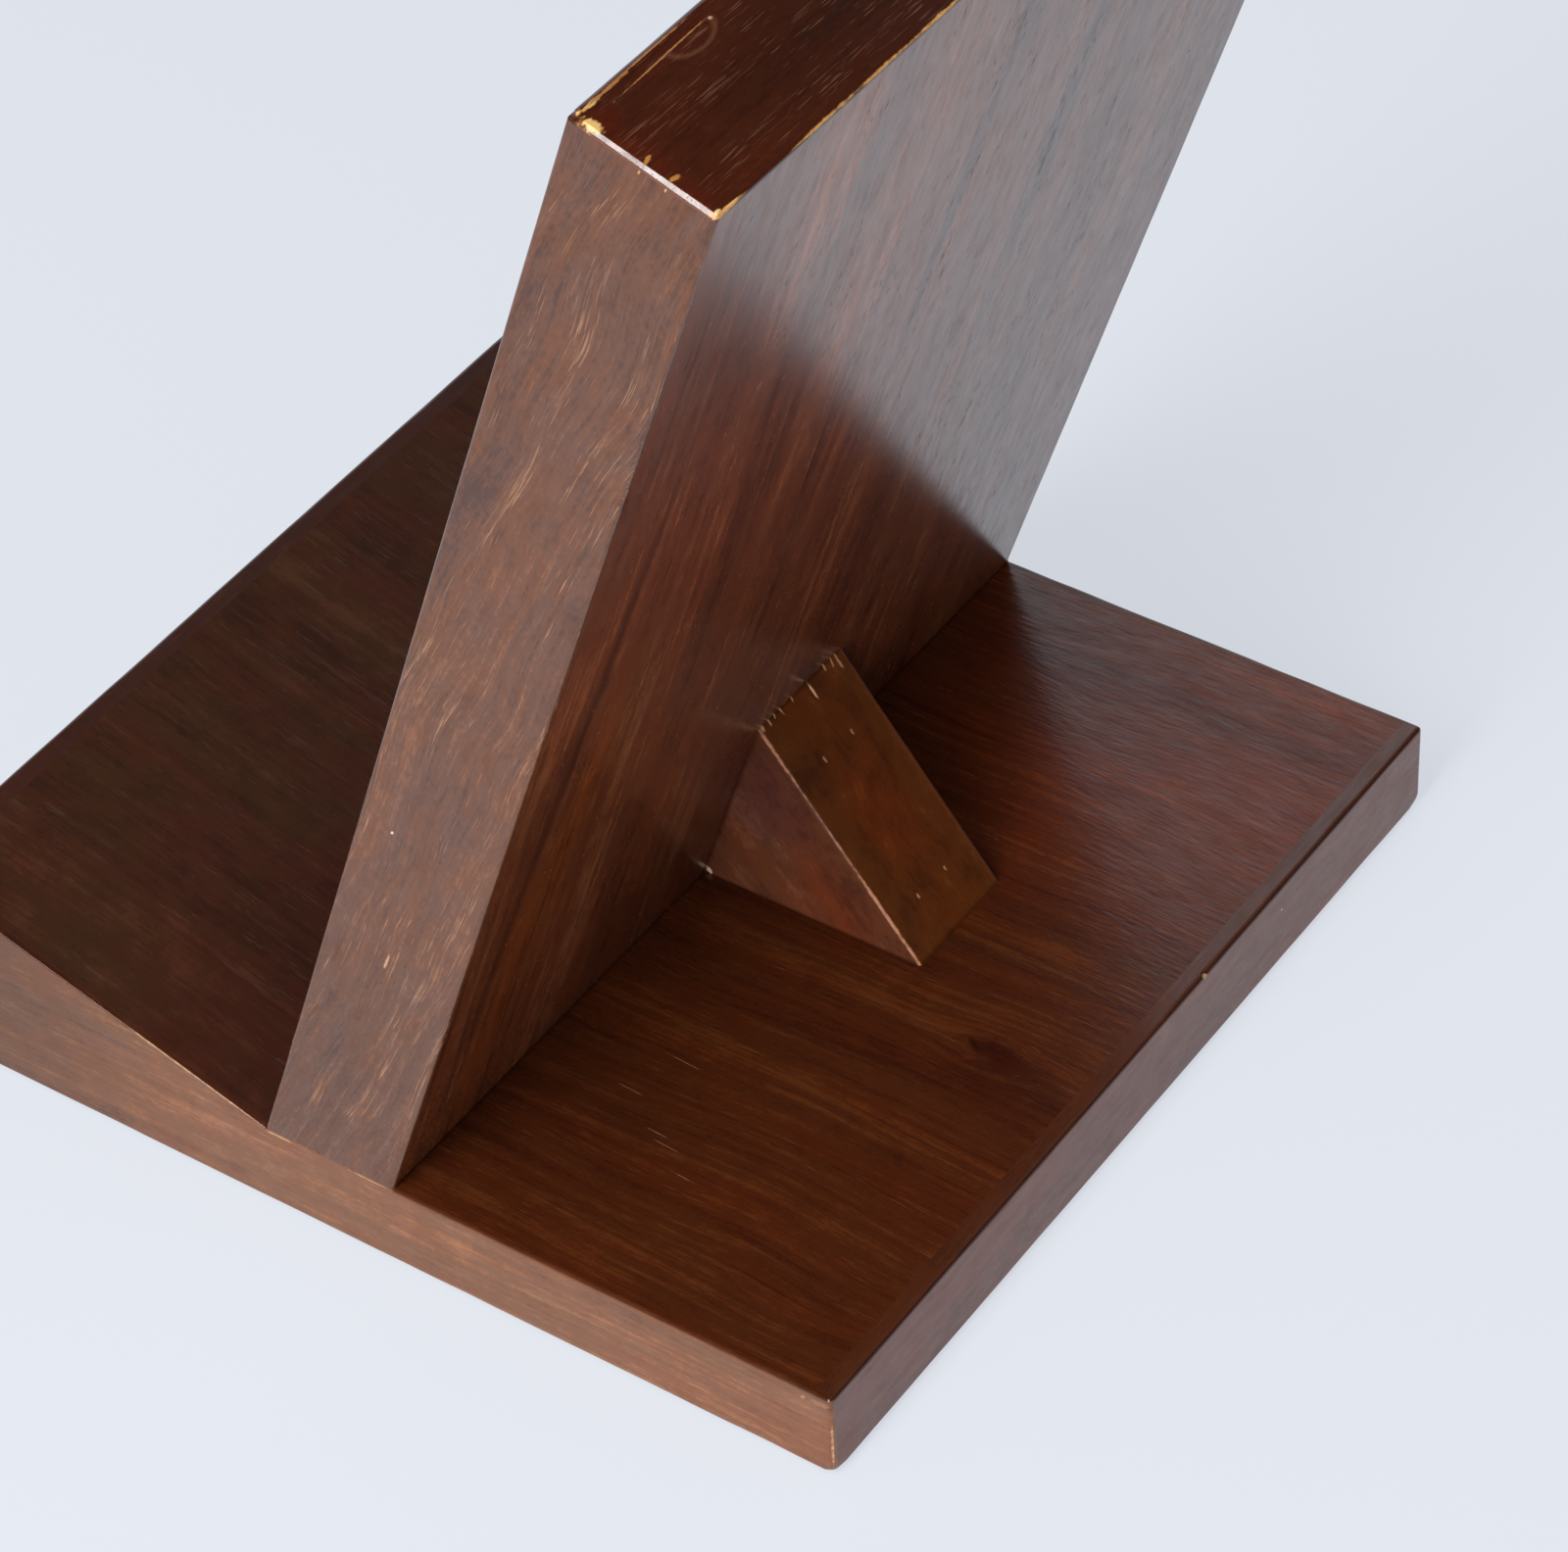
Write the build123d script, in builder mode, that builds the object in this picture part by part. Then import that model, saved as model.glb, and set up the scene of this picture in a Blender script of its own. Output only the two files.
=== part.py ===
from build123d import *
from math import cos, radians, sin, tan
import os

# A leaning stand for record sleeves, in millimetres.
# X runs across the stand, Y from its front edge to its rear edge, and Z is up.
# The origin is the middle of the footprint, on the surface that the pads rest on.

# Driving sizes of the stand
stand_width = 190
stand_depth = 190
base_thickness = 18
panel_thickness = 25.5
panel_length = 246
panel_lean_angle = 18.9
ramp_depth = 75
ramp_slope_angle = 17.4

# Layers that the boards are built from
face_veneer = 0.6
edge_band = 1
end_lipping = 3.5
arris_share = 0.8
arris = edge_band * arris_share

# Support block behind the panel, off centre towards -X
block_width = 25
block_foot = 45.6
block_rise = 40
block_offset = 8.4
block_arris = 0.6

# Brads driven square through the block's slanted face
brad_radius = 0.6
brad_length = 35
brad_spacing = 8.4
brad_row_spacing = 29.6
brad_top_distance = 12.3

# Countersunk screws up through the base into the panel
screw_count = 4
screw_spacing = 48
screw_radius = 2
screw_head_radius = 4
screw_head_angle = 90
screw_length = 45
screw_tip_length = 6
screw_recess = 0.5

# Dowels between the base and the panel
dowel_count = 2
dowel_spacing = 96
dowel_radius = 4
dowel_length = 32
dowel_base_depth = 11
dowel_chamfer = 0.8

# Fits of the fixings in their holes
joint_clearance = 0.1
hole_end_clearance = 1

# Pads under the four corners
pad_radius = 5
pad_thickness = 1
pad_inset = 14

# Levels and lines that the pieces share
underside = pad_thickness
base_top = underside + base_thickness
half_width = stand_width / 2
front_edge = -stand_depth / 2
rear_edge = stand_depth / 2
lean = radians(panel_lean_angle)
slope = radians(ramp_slope_angle)
foot_front = front_edge + ramp_depth
foot_rear = foot_front + panel_thickness / cos(lean)
board_width = stand_width - 2 * edge_band
board_depth = stand_depth - 2 * end_lipping
core_thickness = base_thickness - 2 * face_veneer
lipped_front = front_edge + end_lipping
lipped_rear = rear_edge - end_lipping
panel_top = panel_length - edge_band
panel_axis = Axis((0, 0, 0), (0, sin(lean), cos(lean)))


def ramp_surface(y):
    """Height of the ramp's sloping surface above a line across the stand."""
    return base_top + (foot_front - y) * tan(slope)


def panel_foot(depth):
    """Side view point where a layer, a depth in from the panel's back, meets the base."""
    return (foot_rear - depth / cos(lean), base_top)


def panel_point(height, depth):
    """Side view point at a height up the panel and a depth in from its back."""
    return (
        foot_rear + height * sin(lean) - depth * cos(lean),
        base_top + height * cos(lean) + depth * sin(lean),
    )


def panel_layer(back_depth, front_depth):
    """Side view outline of a layer of the panel, bevelled at its foot to lie on the base."""
    return [
        panel_foot(back_depth),
        panel_point(panel_top, back_depth),
        panel_point(panel_top, front_depth),
        panel_foot(front_depth),
    ]


# Places of the fixings
screw_penetration = screw_length + screw_recess - base_thickness
dowel_penetration = dowel_length - dowel_base_depth
panel_middle = (foot_rear + foot_front) / 2
screw_line = panel_middle + screw_penetration / 2 * tan(lean)
dowel_line = panel_middle + dowel_penetration / 2 * tan(lean)
from_below = Plane(origin=(0, screw_line, underside), x_dir=(1, 0, 0), z_dir=(0, 0, -1))

# Outline of the support block, and the plane of its slanted face, looking at the face
block_apex = (foot_rear + block_rise * tan(lean), base_top + block_rise)
block_toe = (foot_rear + block_foot, base_top)
block_outline = [(foot_rear, base_top), block_toe, block_apex]
slant_run = block_toe[0] - block_apex[0]
slanted_face = Plane(
    origin=(-block_offset, *block_apex),
    x_dir=(1, 0, 0),
    z_dir=(0, block_rise, slant_run),
)
brad_rows = (brad_top_distance, brad_top_distance + brad_row_spacing)
brad_places = [(side * brad_spacing / 2, row) for side in (-1, 1) for row in brad_rows]


def bore_for_brads():
    """Bore the brads' holes, square to the slanted face, in the piece that is being built."""
    with Locations(slanted_face):
        with Locations(*brad_places):
            Hole(brad_radius + joint_clearance, depth=brad_length + hole_end_clearance)


def bore_for_screws():
    """Bore the countersunk screw holes, up from below, in the piece that is being built."""
    with Locations(from_below):
        with GridLocations(screw_spacing, 0, screw_count, 1):
            CounterSinkHole(
                radius=screw_radius + joint_clearance,
                counter_sink_radius=screw_head_radius + screw_recess + joint_clearance,
                depth=screw_length + screw_recess + hole_end_clearance,
                counter_sink_angle=screw_head_angle,
            )


def bore_for_dowels():
    """Bore the dowels' holes, with room at both ends, in the piece that is being built."""
    with Locations((0, dowel_line, base_top + dowel_penetration + hole_end_clearance)):
        with GridLocations(dowel_spacing, 0, dowel_count, 1):
            Hole(dowel_radius + joint_clearance, depth=dowel_length + 2 * hole_end_clearance)


# Base board: a core between two veneers
with BuildPart() as base_core:
    with BuildSketch(Plane.XY.offset(underside + face_veneer)):
        Rectangle(board_width, board_depth)
    extrude(amount=core_thickness)
    bore_for_screws()
    bore_for_dowels()
    bore_for_brads()

with BuildPart() as base_top_veneer:
    with BuildSketch(Plane.XY.offset(base_top - face_veneer)):
        Rectangle(board_width, board_depth)
    extrude(amount=face_veneer)
    bore_for_screws()
    bore_for_dowels()
    bore_for_brads()

with BuildPart() as base_underside_veneer:
    with BuildSketch(Plane.XY.offset(underside)):
        Rectangle(board_width, board_depth)
    extrude(amount=face_veneer)
    bore_for_screws()

# Solid lippings along the base's rear and front edges, with eased outer arrises
with BuildPart() as base_rear_lipping:
    with BuildSketch(Plane.YZ):
        Polygon(
            (lipped_rear, underside),
            (rear_edge, underside),
            (rear_edge, base_top),
            (lipped_rear, base_top),
            align=None,
        )
    extrude(amount=board_width / 2, both=True)
    fillet(base_rear_lipping.faces().sort_by(Axis.Y)[-1].edges().filter_by(Axis.X), radius=arris)

with BuildPart() as base_front_lipping:
    with BuildSketch(Plane.YZ):
        Polygon(
            (front_edge, underside),
            (lipped_front, underside),
            (lipped_front, ramp_surface(lipped_front)),
            (front_edge, ramp_surface(front_edge)),
            align=None,
        )
    extrude(amount=board_width / 2, both=True)
    fillet(base_front_lipping.faces().sort_by(Axis.Y)[0].edges().filter_by(Axis.X), radius=arris)

# Ramp: a wedge glued on the base in front of the panel, with a veneer on its slope
veneer_drop = face_veneer / cos(slope)
wedge_toe = foot_front - face_veneer / sin(slope)

with BuildPart() as ramp_wedge:
    with BuildSketch(Plane.YZ):
        Polygon(
            (wedge_toe, base_top),
            (lipped_front, base_top),
            (lipped_front, ramp_surface(lipped_front) - veneer_drop),
            align=None,
        )
    extrude(amount=board_width / 2, both=True)

with BuildPart() as ramp_veneer:
    with BuildSketch(Plane.YZ):
        Polygon(
            (foot_front, base_top),
            (wedge_toe, base_top),
            (lipped_front, ramp_surface(lipped_front) - veneer_drop),
            (lipped_front, ramp_surface(lipped_front)),
            align=None,
        )
    extrude(amount=board_width / 2, both=True)


# Edge bands of the base: one piece on each side, which follows the base and the ramp
def base_edge_band(side):
    """Band on the side at -X or +X, eased all round but left square under the panel's foot."""
    inner_plane = Plane.YZ.offset(side * (half_width - edge_band))
    with BuildPart() as band:
        with BuildSketch(inner_plane):
            Polygon(
                (front_edge, underside),
                (rear_edge, underside),
                (rear_edge, base_top),
                (foot_front, base_top),
                (front_edge, ramp_surface(front_edge)),
                align=None,
            )
        extrude(amount=side * edge_band)
        outer_face = band.faces().sort_by(Axis((0, 0, 0), (side, 0, 0)))[-1]
        across_edges = band.edges().filter_by(Axis.X).group_by(Axis.Y)
        fillet(outer_face.edges() + across_edges[0] + across_edges[-1], radius=arris)
        with BuildSketch(inner_plane):
            Polygon(
                (foot_front, base_top - edge_band),
                (foot_rear, base_top - edge_band),
                (foot_rear, base_top),
                (foot_front, base_top),
                align=None,
            )
        extrude(amount=side * edge_band)
    return band


base_left_edge_band = base_edge_band(-1)
base_right_edge_band = base_edge_band(1)

# Leaning panel: a core between two veneers, all bevelled at the foot
with BuildPart() as panel_core:
    with BuildSketch(Plane.YZ):
        Polygon(*panel_layer(face_veneer, panel_thickness - face_veneer), align=None)
    extrude(amount=board_width / 2, both=True)
    bore_for_screws()
    bore_for_dowels()
    bore_for_brads()

with BuildPart() as panel_back_veneer:
    with BuildSketch(Plane.YZ):
        Polygon(*panel_layer(0, face_veneer), align=None)
    extrude(amount=board_width / 2, both=True)
    bore_for_brads()

with BuildPart() as panel_front_veneer:
    with BuildSketch(Plane.YZ):
        Polygon(*panel_layer(panel_thickness - face_veneer, panel_thickness), align=None)
    extrude(amount=board_width / 2, both=True)


# Edge bands of the panel: one up each side, and one over the top that covers their ends
def panel_edge_band(side):
    """Band up the side at -X or +X, with its two long outer arrises eased."""
    with BuildPart() as band:
        with BuildSketch(Plane.YZ.offset(side * (half_width - edge_band))):
            Polygon(*panel_layer(0, panel_thickness), align=None)
        extrude(amount=side * edge_band)
        outer_face = band.faces().sort_by(Axis((0, 0, 0), (side, 0, 0)))[-1]
        fillet(outer_face.edges().sort_by(SortBy.LENGTH)[-2:], radius=arris)
    return band


panel_left_edge_band = panel_edge_band(-1)
panel_right_edge_band = panel_edge_band(1)

with BuildPart() as panel_top_edge_band:
    with BuildSketch(Plane.YZ):
        Polygon(
            panel_point(panel_top, 0),
            panel_point(panel_length, 0),
            panel_point(panel_length, panel_thickness),
            panel_point(panel_top, panel_thickness),
            align=None,
        )
    extrude(amount=stand_width / 2, both=True)
    glued_face = panel_top_edge_band.faces().sort_by(panel_axis)[0]
    fillet(panel_top_edge_band.edges() - glued_face.edges(), radius=arris)

# Support block: a triangle that fits the corner between the base and the panel's back
with BuildPart() as support_block:
    with BuildSketch(Plane.YZ.offset(-block_offset)):
        Polygon(*block_outline, align=None)
    extrude(amount=block_width / 2, both=True)
    slanted = support_block.faces().sort_by(Axis((0, 0, 0), slanted_face.z_dir))[-1]
    side_arrises = slanted.edges() - slanted.edges().filter_by(Axis.X)
    fillet(side_arrises, radius=block_arris)
    bore_for_brads()

with BuildPart() as block_brads:
    with Locations(slanted_face):
        with Locations(*brad_places):
            Cylinder(brad_radius, brad_length, align=(Align.CENTER, Align.CENTER, Align.MAX))

# Screws: a countersunk head, a shank and a point, drawn head down at the origin
with BuildPart() as screw:
    head_height = (screw_head_radius - screw_radius) / tan(radians(screw_head_angle) / 2)
    with BuildSketch(Plane.XZ):
        Polygon(
            (0, 0),
            (screw_head_radius, 0),
            (screw_radius, head_height),
            (screw_radius, screw_length - screw_tip_length),
            (0, screw_length),
            align=None,
        )
    revolve(axis=Axis.Z)

with BuildPart() as panel_screws:
    with Locations((0, screw_line, underside + screw_recess)):
        with GridLocations(screw_spacing, 0, screw_count, 1):
            add(screw.part)

# Dowels: round pins with chamfered ends
with BuildPart() as panel_dowels:
    with BuildSketch(Plane.XY.offset(base_top - dowel_base_depth)):
        with Locations((0, dowel_line)):
            with GridLocations(dowel_spacing, 0, dowel_count, 1):
                Circle(dowel_radius)
    extrude(amount=dowel_length)
    chamfer(panel_dowels.edges().filter_by(GeomType.CIRCLE), length=dowel_chamfer)

# Pads: round discs under the corners of the base
with BuildPart() as foot_pads:
    with BuildSketch(Plane.XY):
        with GridLocations(stand_width - 2 * pad_inset, stand_depth - 2 * pad_inset, 2, 2):
            Circle(pad_radius)
    extrude(amount=pad_thickness)

pieces = {
    "base_core": base_core,
    "base_top_veneer": base_top_veneer,
    "base_underside_veneer": base_underside_veneer,
    "base_rear_lipping": base_rear_lipping,
    "base_front_lipping": base_front_lipping,
    "base_left_edge_band": base_left_edge_band,
    "base_right_edge_band": base_right_edge_band,
    "ramp_wedge": ramp_wedge,
    "ramp_veneer": ramp_veneer,
    "panel_core": panel_core,
    "panel_back_veneer": panel_back_veneer,
    "panel_front_veneer": panel_front_veneer,
    "panel_left_edge_band": panel_left_edge_band,
    "panel_right_edge_band": panel_right_edge_band,
    "panel_top_edge_band": panel_top_edge_band,
    "support_block": support_block,
    "block_brads": block_brads,
    "panel_screws": panel_screws,
    "panel_dowels": panel_dowels,
    "foot_pads": foot_pads,
}

os.makedirs("parts", exist_ok=True)
for label, piece in pieces.items():
    piece.part.label = label
    export_step(piece.part, f"parts/{label}.step")
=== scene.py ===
import math

import bmesh
import bpy
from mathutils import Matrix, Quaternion, Vector, noise


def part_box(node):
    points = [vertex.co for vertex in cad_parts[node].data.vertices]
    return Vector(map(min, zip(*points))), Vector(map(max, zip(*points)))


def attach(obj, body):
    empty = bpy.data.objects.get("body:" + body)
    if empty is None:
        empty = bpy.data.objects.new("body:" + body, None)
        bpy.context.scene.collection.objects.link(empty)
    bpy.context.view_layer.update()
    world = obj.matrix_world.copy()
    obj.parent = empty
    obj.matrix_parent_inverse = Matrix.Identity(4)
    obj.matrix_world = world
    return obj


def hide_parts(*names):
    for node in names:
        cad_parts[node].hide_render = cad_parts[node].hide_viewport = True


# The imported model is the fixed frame.
# Lengths below are millimetres, and a mesh is scaled to metres as it is made.
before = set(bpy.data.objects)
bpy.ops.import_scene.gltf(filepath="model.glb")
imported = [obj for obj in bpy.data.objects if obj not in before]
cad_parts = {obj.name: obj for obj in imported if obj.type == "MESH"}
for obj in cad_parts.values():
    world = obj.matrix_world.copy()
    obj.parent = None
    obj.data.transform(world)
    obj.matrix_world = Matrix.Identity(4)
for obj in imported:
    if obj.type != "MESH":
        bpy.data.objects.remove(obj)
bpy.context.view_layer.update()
MM = 0.001


def box_mm(node):
    """Lowest and highest corner of a node of the frame, in millimetres."""
    low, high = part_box(node)
    return low / MM, high / MM


# Sizes taken from the frame
core_low, core_high = box_mm("base_core")
band_low, band_high = box_mm("base_right_edge_band")
half_width = band_high.x
inner_width = core_high.x
front_edge = band_low.y
rear_edge = band_high.y
lipped_front = core_low.y
lipped_rear = core_high.y
underside = band_low.z
base_top = box_mm("base_top_veneer")[1].z
edge_band = half_width - inner_width
block_low, block_high = box_mm("support_block")

# Sizes that the frame's boxes don't give
panel_thickness = 25.5
panel_length = 246
lean = math.radians(18.9)
slope = math.radians(17.4)
ramp_depth = 75
foot_front = front_edge + ramp_depth
foot_rear = foot_front + panel_thickness / math.cos(lean)
panel_side_top = panel_length - edge_band
block_rise = block_high.z - base_top
block_middle = (block_low.x + block_high.x) / 2
brad_columns = (block_middle - 4.2, block_middle + 4.2)
brad_rows = (12.3, 41.9)
brad_places = [(x, down) for x in brad_columns for down in brad_rows]
brad_sides = 16
brad_profile = [(0.15, -34.5), (0.6, -32.5), (0.6, -1.7), (0.85, -1.5), (0.85, -1.15), (0.5, -1.0)]
screw_low, screw_high = box_mm("panel_screws")
screw_head_radius = 4
screw_radius = 2
screw_spacing = 48
screw_places = [screw_low.x + screw_head_radius + index * screw_spacing for index in range(4)]
screw_y = (screw_low.y + screw_high.y) / 2
screw_head_level = screw_low.z
screw_sides = 32
screw_rim = 0.25
screw_neck = 2.1
screw_tip_radius = 0.15
screw_tip_length = 6
screw_tip_shares = (0.34, 0.67, 1)
thread_pitch = 1.8
thread_depth = 0.5
thread_start = 3.5
thread_end = 38.9
thread_steepness = 3.2
thread_rings = 8
recess_shares = (0.04, 0.2, 0.3, 0.4, 0.5, 0.56, 0.58, 0.75, 0.94)
recess_width = 0.5
recess_reach = 2.3
recess_depth = 1.4
pad_low, pad_high = box_mm("foot_pads")
pad_radius = 5
pad_top = pad_high.z
pad_sides = 48
pad_crown = 0.02
pad_crown_shares = (0.15, 0.4, 0.65, 0.85)
pad_rim = [(0.35, 0.01), (0.12, 0.1), (0, 0.32), (0, 0.75), (0.1, pad_top)]
pad_raggedness = 0.015

# Directions along and out of the leaning panel, the ramp and the block's slanted face
across = Vector((1, 0, 0))
level = Vector((0, 1, 0))
upright = Vector((0, 0, 1))
panel_up = Vector((0, math.sin(lean), math.cos(lean)))
panel_back = Vector((0, math.cos(lean), -math.sin(lean)))
ramp_down = Vector((0, math.cos(slope), -math.sin(slope)))
panel_foot = Vector((0, foot_rear, base_top))
block_apex = panel_foot + upright * block_rise + level * (block_rise * math.tan(lean))
block_toe = Vector((0, block_high.y, base_top))


def top_height(y):
    """Height of the ramp's surface or, behind it, of the flat base above a line across the stand."""
    return base_top + max(0, foot_front - y) * math.tan(slope)


def on_panel(x, height, depth):
    """Point at a height up the panel and a depth in from its back face."""
    return panel_foot + across * x + panel_up * height - panel_back * depth


# Easing of the arrises, in millimetres
arris = 0.8
arris_wobble = 0.3
arris_wavelength = 9
arc_shares = (0, 0.05, 0.15, 0.3, 0.5, 0.74, 1)
support_gaps = (0.15, 0.5, 1.2, 2.5)
rim_depths = (0.12, 0.5, 1.4)
gap_limit = 10
drop_share = 0.95
apex_share = 0.998
least_easing = 0.01
crease_angle = math.radians(32)


class Graph:
    """A material's nodes. A call adds nodes, takes numbers or sockets, and returns an output."""

    def __init__(self, tree):
        self.tree = tree
        tree.nodes.clear()

    def add(self, kind, inputs, output=0, **settings):
        node = self.tree.nodes.new("ShaderNode" + kind)
        for key, value in settings.items():
            setattr(node, key, value)
        for key, value in inputs.items():
            if isinstance(value, bpy.types.NodeSocket):
                self.tree.links.new(value, node.inputs[key])
            else:
                node.inputs[key].default_value = value
        return node.outputs[output] if node.outputs else None

    def math(self, operation, first, second=0.0):
        return self.add("Math", {0: first, 1: second}, operation=operation)

    def plus(self, first, second):
        return self.math("ADD", first, second)

    def minus(self, first, second):
        return self.math("SUBTRACT", first, second)

    def times(self, first, second):
        return self.math("MULTIPLY", first, second)

    def line(self, value, slope, start):
        return self.plus(self.times(value, slope), start)

    def part_place(self):
        """Place on the part in millimetres."""
        return self.scaled(self.add("TexCoord", {}, "Object"), 1 / MM)

    def vector(self, operation, first, second, output="Vector"):
        return self.add("VectorMath", {0: first, 1: second}, output, operation=operation)

    def away(self, place, origin):
        """Place measured from an origin."""
        return self.vector("SUBTRACT", place, tuple(origin))

    def dot(self, first, second):
        return self.vector("DOT_PRODUCT", first, second, "Value")

    def scaled(self, first, factor):
        return self.add("VectorMath", {0: first, 3: factor}, operation="SCALE")

    def joined(self, x, y, z):
        return self.add("CombineXYZ", {0: x, 1: y, 2: z})

    def step(self, value, low, high):
        """0 below low, 1 above high, smooth between. With low over high it falls instead."""
        if low > high:
            return self.minus(1, self.step(value, high, low))
        inputs = {"Value": value, "From Min": low, "From Max": high}
        return self.add("MapRange", inputs, interpolation_type="SMOOTHSTEP")

    def noise(self, place, detail=2.0, roughness=0.5, distortion=0.0):
        return self.add("TexNoise", {
            "Vector": place, "Scale": 1.0, "Detail": detail, "Roughness": roughness, "Distortion": distortion,
        })

    def blend(self, factor, first, second, mode="MIX"):
        colours = {0: factor, 6: first, 7: second}
        return self.add("Mix", colours, 2, data_type="RGBA", blend_type=mode)

    def tinted(self, factor, colour, tint):
        return self.blend(factor, colour, tint, "MULTIPLY")

    def surface(self, shader):
        self.add("OutputMaterial", {"Surface": shader})

    def coat(self, colour, roughness, height, depth, **others):
        """The surface of a material, with bumps as deep as depth millimetres."""
        bump = self.add("Bump", {"Height": height, "Strength": 1.0, "Distance": depth * MM})
        self.surface(self.add("BsdfPrincipled", {
            "Base Color": colour, "Roughness": roughness, "Normal": bump, **others,
        }))


def tone(red, green, blue):
    """A colour of 0 to 255 a channel as the linear colour that a shader takes."""
    def linear(channel):
        share = channel / 255
        return share / 12.92 if share <= 0.04045 else ((share + 0.055) / 1.055) ** 2.4
    return (linear(red), linear(green), linear(blue), 1)


materials = {}


def new_material(finish, name, kind=Graph, *parts):
    """Starts the material of a finish and gives its nodes."""
    material = bpy.data.materials.new(name)
    material.use_nodes = True
    materials[finish] = material
    return kind(material.node_tree, *parts)


def in_wood(wood, point):
    """A point of the part in a board's directions: across its grain, along it, and into the board."""
    origin, side, along = wood
    place = Vector(point) - origin
    return Vector((place.dot(side), place.dot(along), place.dot(side.cross(along))))


def wood_place(graph, wood):
    """The same three coordinates in a shader, in millimetres."""
    origin, side, along = wood
    place = graph.away(graph.part_place(), origin)
    return [graph.dot(place, tuple(axis)) for axis in (side, along, side.cross(along))]


def stretched(graph, parts, widths, shift):
    """Coordinates divided by a width each and shifted, for a noise of that size."""
    return graph.joined(*(
        graph.plus(graph.math("DIVIDE", part, width), shift * (index + 1))
        for index, (part, width) in enumerate(zip(parts, widths))
    ))


# Sizes of the wood's noises, in millimetres across the grain, along it and into the board
streak_size = (1.3, 45, 1.3)
fibre_size = (0.28, 6, 0.28)
mottle_size = (5, 7, 5)
speckle_size = (0.7, 1.5, 0.7)
ragged_size = (0.5, 1.3, 0.5)
sheen_size = (2, 9, 2)
pore_patch_size = (5, 45, 5)
rub_patch_size = (9, 9, 9)
figure_size = (14, 196, 14)
bump_depth = 0.01
# Colour that multiplies the wood as painted contact shade along a joint
seam_shade_tint = (0.35, 0.3, 0.3, 1)


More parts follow.
